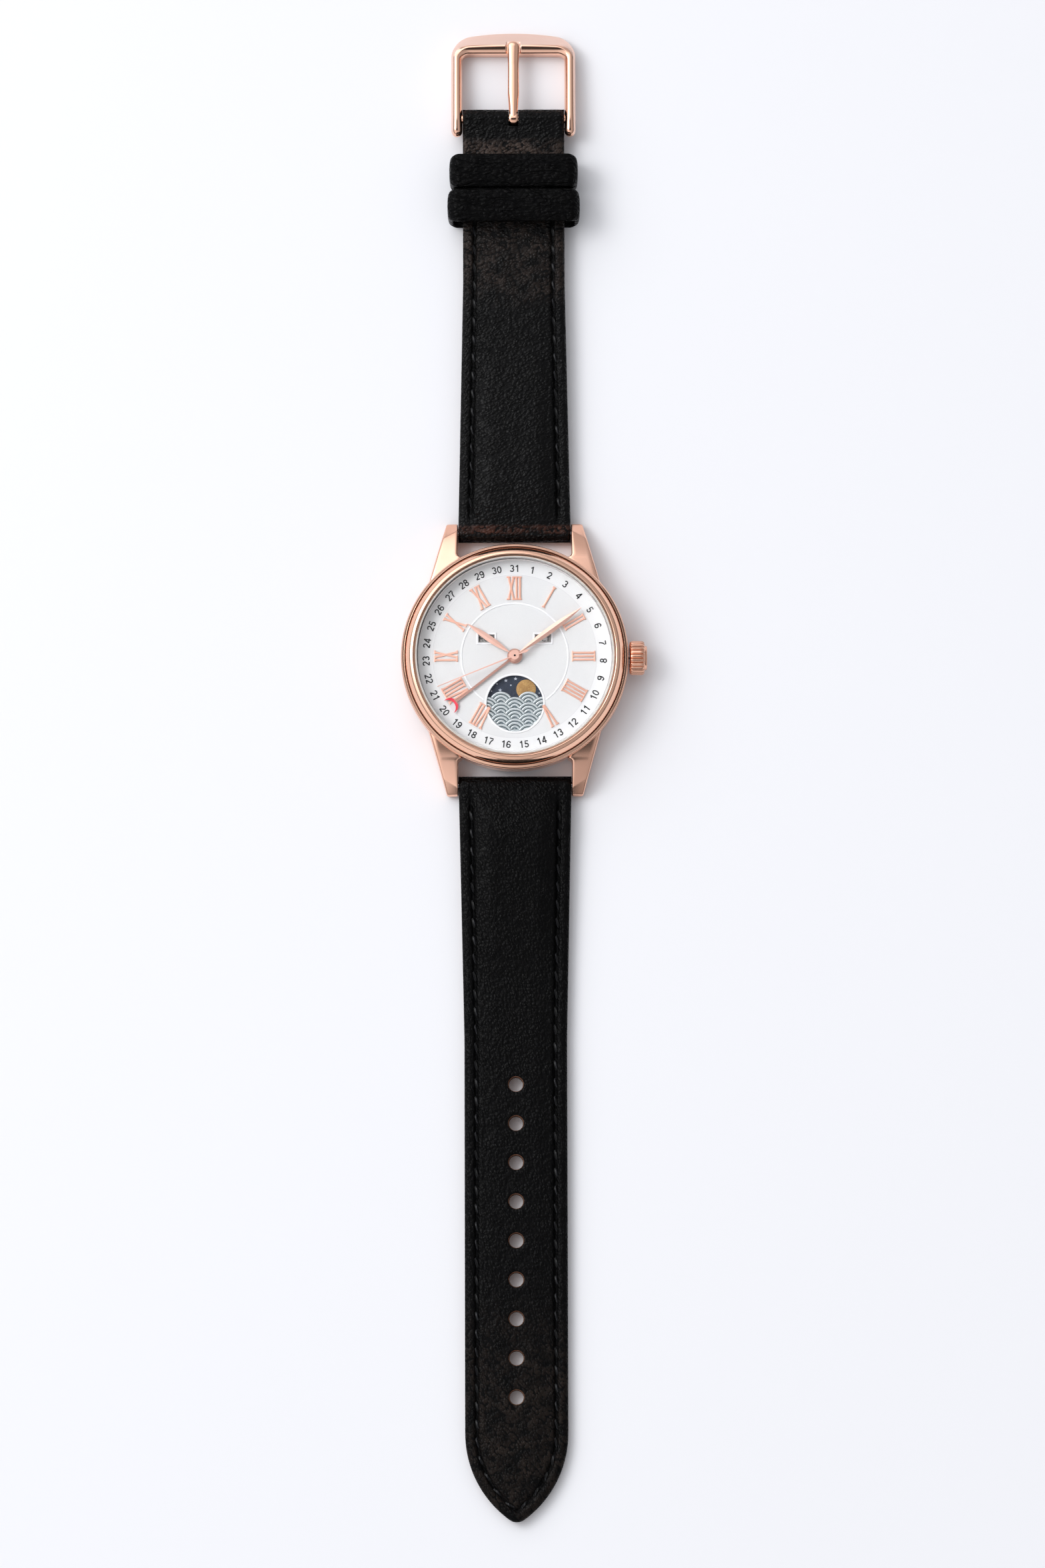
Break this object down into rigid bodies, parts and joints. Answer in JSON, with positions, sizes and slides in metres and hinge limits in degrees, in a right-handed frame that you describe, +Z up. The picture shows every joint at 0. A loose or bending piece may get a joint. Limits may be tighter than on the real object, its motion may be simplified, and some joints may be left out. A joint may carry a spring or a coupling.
{
  "type": "moon phase wristwatch",
  "caption": "Round wristwatch with moon phase, pointer date, day and month windows, and a padded leather strap with a tongue buckle.",
  "frame": {"origin": "centre of the caseback's flat underside, on which the watch lies", "axes": "+Z up through the dial, +Y to 12 o'clock and the buckle, +X to 3 o'clock and the crown"},
  "size_m": [0.039, 0.2375, 0.0084],
  "materials": {
    "case_metal": "polished rose-gold plated steel",
    "buckle_metal": "polished rose-gold plated steel",
    "hand_metal": "satin rose-gold plated",
    "numeral_metal": "polished rose-gold plated",
    "back_steel": "circular brushed",
    "bar_steel": "drawn",
    "movement_steel": "satin",
    "movement_brass": "satin",
    "coil_copper": "satin copper wire",
    "board_green": "satin",
    "holder_plastic": "matt",
    "dial_white": "satin lacquer with printed date ring",
    "flange_white": "gloss lacquer",
    "wave_silver": "silver, with polished crests",
    "moon_navy": "satin, printed with moons and stars",
    "calendar_silver": "satin, printed",
    "crystal_glass": "clear, polished",
    "seal_rubber": "matt",
    "strap_leather": "pebbled grain, semi-gloss",
    "lining_leather": "smooth, matt"
  },
  "bodies": {
    "case": {"case_middle": "case_metal", "bezel": "case_metal", "crystal": "crystal_glass", "crystal_gasket": "seal_rubber", "dial": "dial_white", "dial_flange": "flange_white", "wave_plate": "wave_silver", "numeral_1": "numeral_metal", "numeral_2": "numeral_metal", "numeral_3": "numeral_metal", "numeral_4": "numeral_metal", "numeral_5": "numeral_metal", "numeral_7": "numeral_metal", "numeral_8": "numeral_metal", "numeral_9": "numeral_metal", "numeral_10": "numeral_metal", "numeral_11": "numeral_metal", "numeral_12": "numeral_metal", "main_plate": "movement_brass", "train_bridge": "movement_steel", "circuit_board": "board_green", "coil": "coil_copper", "battery": "movement_steel", "movement_holder": "holder_plastic", "caseback": "back_steel", "caseback_gasket": "seal_rubber", "crown_tube": "movement_steel", "spring_bar_upper": "bar_steel", "spring_bar_lower": "bar_steel"},
    "hour_hand": {"hour_hand": "hand_metal", "hour_wheel": "movement_brass"},
    "minute_hand": {"minute_hand": "hand_metal", "cannon_pinion": "movement_brass"},
    "seconds_hand": {"seconds_hand": "hand_metal", "seconds_arbor": "movement_steel"},
    "date_hand": {"date_hand": "hand_metal", "date_wheel": "movement_brass"},
    "minute_wheel": {"minute_wheel": "movement_brass"},
    "moon_disc": {"moon_disc": "moon_navy"},
    "day_disc": {"day_disc": "calendar_silver"},
    "month_disc": {"month_disc": "calendar_silver"},
    "setting_yoke": {"setting_yoke": "movement_steel"},
    "crown": {"crown": "case_metal", "stem": "movement_steel", "crown_gasket": "seal_rubber"},
    "upper_left_tip": {"upper_left_tip": "bar_steel"},
    "upper_right_tip": {"upper_right_tip": "bar_steel"},
    "lower_left_tip": {"lower_left_tip": "bar_steel"},
    "lower_right_tip": {"lower_right_tip": "bar_steel"},
    "short_strap": {"short_strap_cover": "strap_leather", "short_strap_lining": "lining_leather", "fixed_keeper": "strap_leather"},
    "free_keeper": {"free_keeper": "strap_leather"},
    "long_strap": {"long_strap_cover": "strap_leather", "long_strap_lining": "lining_leather"},
    "buckle_frame": {"buckle_frame": "buckle_metal", "buckle_pin": "buckle_metal"},
    "buckle_tongue": {"buckle_tongue": "buckle_metal"}
  },
  "joints": [
    {"name": "minute_hand_turn", "type": "hinge", "parent": "case", "child": "minute_hand", "pos_m": [0, 0, 0], "axis": [0, 0, -1], "continuous": true},
    {"name": "hour_hand_turn", "type": "hinge", "parent": "case", "child": "hour_hand", "pos_m": [0, 0, 0], "axis": [0, 0, -1], "continuous": true},
    {"name": "minute_wheel_turn", "type": "hinge", "parent": "case", "child": "minute_wheel", "pos_m": [0, 0.0025, 0], "axis": [0, 0, -1], "continuous": true},
    {"name": "seconds_hand_turn", "type": "hinge", "parent": "case", "child": "seconds_hand", "pos_m": [0, 0, 0], "axis": [0, 0, -1], "continuous": true},
    {"name": "date_hand_turn", "type": "hinge", "parent": "case", "child": "date_hand", "pos_m": [0, 0, 0], "axis": [0, 0, -1], "continuous": true},
    {"name": "moon_disc_turn", "type": "hinge", "parent": "case", "child": "moon_disc", "pos_m": [0, -0.00748, 0], "axis": [0, 0, -1], "continuous": true},
    {"name": "day_disc_turn", "type": "hinge", "parent": "case", "child": "day_disc", "pos_m": [-0.0074, 0.00285, 0], "axis": [0, 0, -1], "continuous": true},
    {"name": "month_disc_turn", "type": "hinge", "parent": "case", "child": "month_disc", "pos_m": [0.0074, 0.00285, 0], "axis": [0, 0, -1], "continuous": true},
    {"name": "crown_pull", "type": "slide", "parent": "case", "child": "setting_yoke", "axis": [1, 0, 0], "range_m": [0, 0.0012]},
    {"name": "crown_turn", "type": "hinge", "parent": "setting_yoke", "child": "crown", "pos_m": [0, 0, 0.0032], "axis": [1, 0, 0], "continuous": true},
    {"name": "upper_strap_hinge", "type": "hinge", "parent": "case", "child": "short_strap", "pos_m": [0, 0.0201, 0.0019], "axis": [-1, 0, 0], "range_deg": [-25, 95]},
    {"name": "lower_strap_hinge", "type": "hinge", "parent": "case", "child": "long_strap", "pos_m": [0, -0.0201, 0.0019], "axis": [1, 0, 0], "range_deg": [-25, 95]},
    {"name": "buckle_swing", "type": "hinge", "parent": "short_strap", "child": "buckle_frame", "pos_m": [0, 0.087, 0.00265], "axis": [1, 0, 0], "range_deg": [-70, 40]},
    {"name": "tongue_lift", "type": "hinge", "parent": "buckle_frame", "child": "buckle_tongue", "pos_m": [0, 0.087, 0.00265], "axis": [1, 0, 0], "range_deg": [0, 85]},
    {"name": "keeper_slide", "type": "slide", "parent": "short_strap", "child": "free_keeper", "axis": [0, -1, 0], "range_m": [0, 0.028]},
    {"name": "upper_left_tip_press", "type": "slide", "parent": "case", "child": "upper_left_tip", "axis": [1, 0, 0], "range_m": [0, 0.0011], "stiffness_N_per_m": 20},
    {"name": "upper_right_tip_press", "type": "slide", "parent": "case", "child": "upper_right_tip", "axis": [-1, 0, 0], "range_m": [0, 0.0011], "stiffness_N_per_m": 20},
    {"name": "lower_left_tip_press", "type": "slide", "parent": "case", "child": "lower_left_tip", "axis": [1, 0, 0], "range_m": [0, 0.0011], "stiffness_N_per_m": 20},
    {"name": "lower_right_tip_press", "type": "slide", "parent": "case", "child": "lower_right_tip", "axis": [-1, 0, 0], "range_m": [0, 0.0011], "stiffness_N_per_m": 20}
  ],
  "couplings": [
    {"joint": "hour_hand_turn", "follows": "minute_hand_turn", "ratio": 0.083333},
    {"joint": "minute_wheel_turn", "follows": "minute_hand_turn", "ratio": -0.33333}
  ]
}
